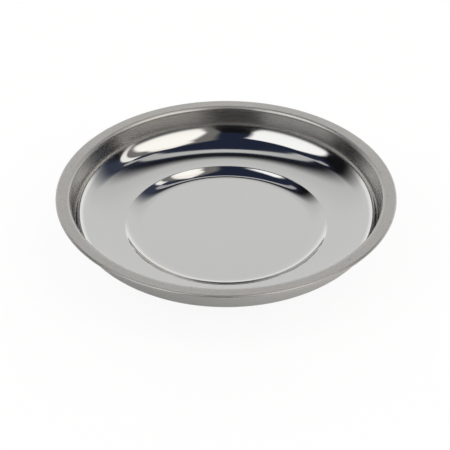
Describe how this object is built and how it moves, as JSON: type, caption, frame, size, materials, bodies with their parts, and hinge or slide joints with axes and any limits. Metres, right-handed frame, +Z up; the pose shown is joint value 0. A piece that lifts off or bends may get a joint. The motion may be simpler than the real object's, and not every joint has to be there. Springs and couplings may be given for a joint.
{
  "type": "magnetic parts tray",
  "caption": "Round polished steel dish with a folded rim and a recessed floor, on a rubber-booted ring magnet that keeps small steel parts from rolling away.",
  "frame": {"origin": "middle of the boot's underside, on the surface that the tray stands on", "axes": "+Z up along the dish's axis; the tray is round, so X and Y are any two level directions"},
  "size_m": [0.15, 0.15, 0.0309],
  "materials": {
    "polished_stainless": "polished",
    "copper_flash": "satin",
    "foam": "matte",
    "ferrite": "matte",
    "zinc_plate": "satin",
    "spring_steel": "satin",
    "boot_rubber": "matte"
  },
  "bodies": {
    "root": {"dish": "polished_stainless", "weld_stud": "copper_flash", "magnet_gasket": "foam", "ring_magnet": "ferrite", "pole_plate": "zinc_plate", "spring_washer": "spring_steel", "hex_nut": "zinc_plate", "rubber_boot": "boot_rubber"}
  },
  "joints": []
}
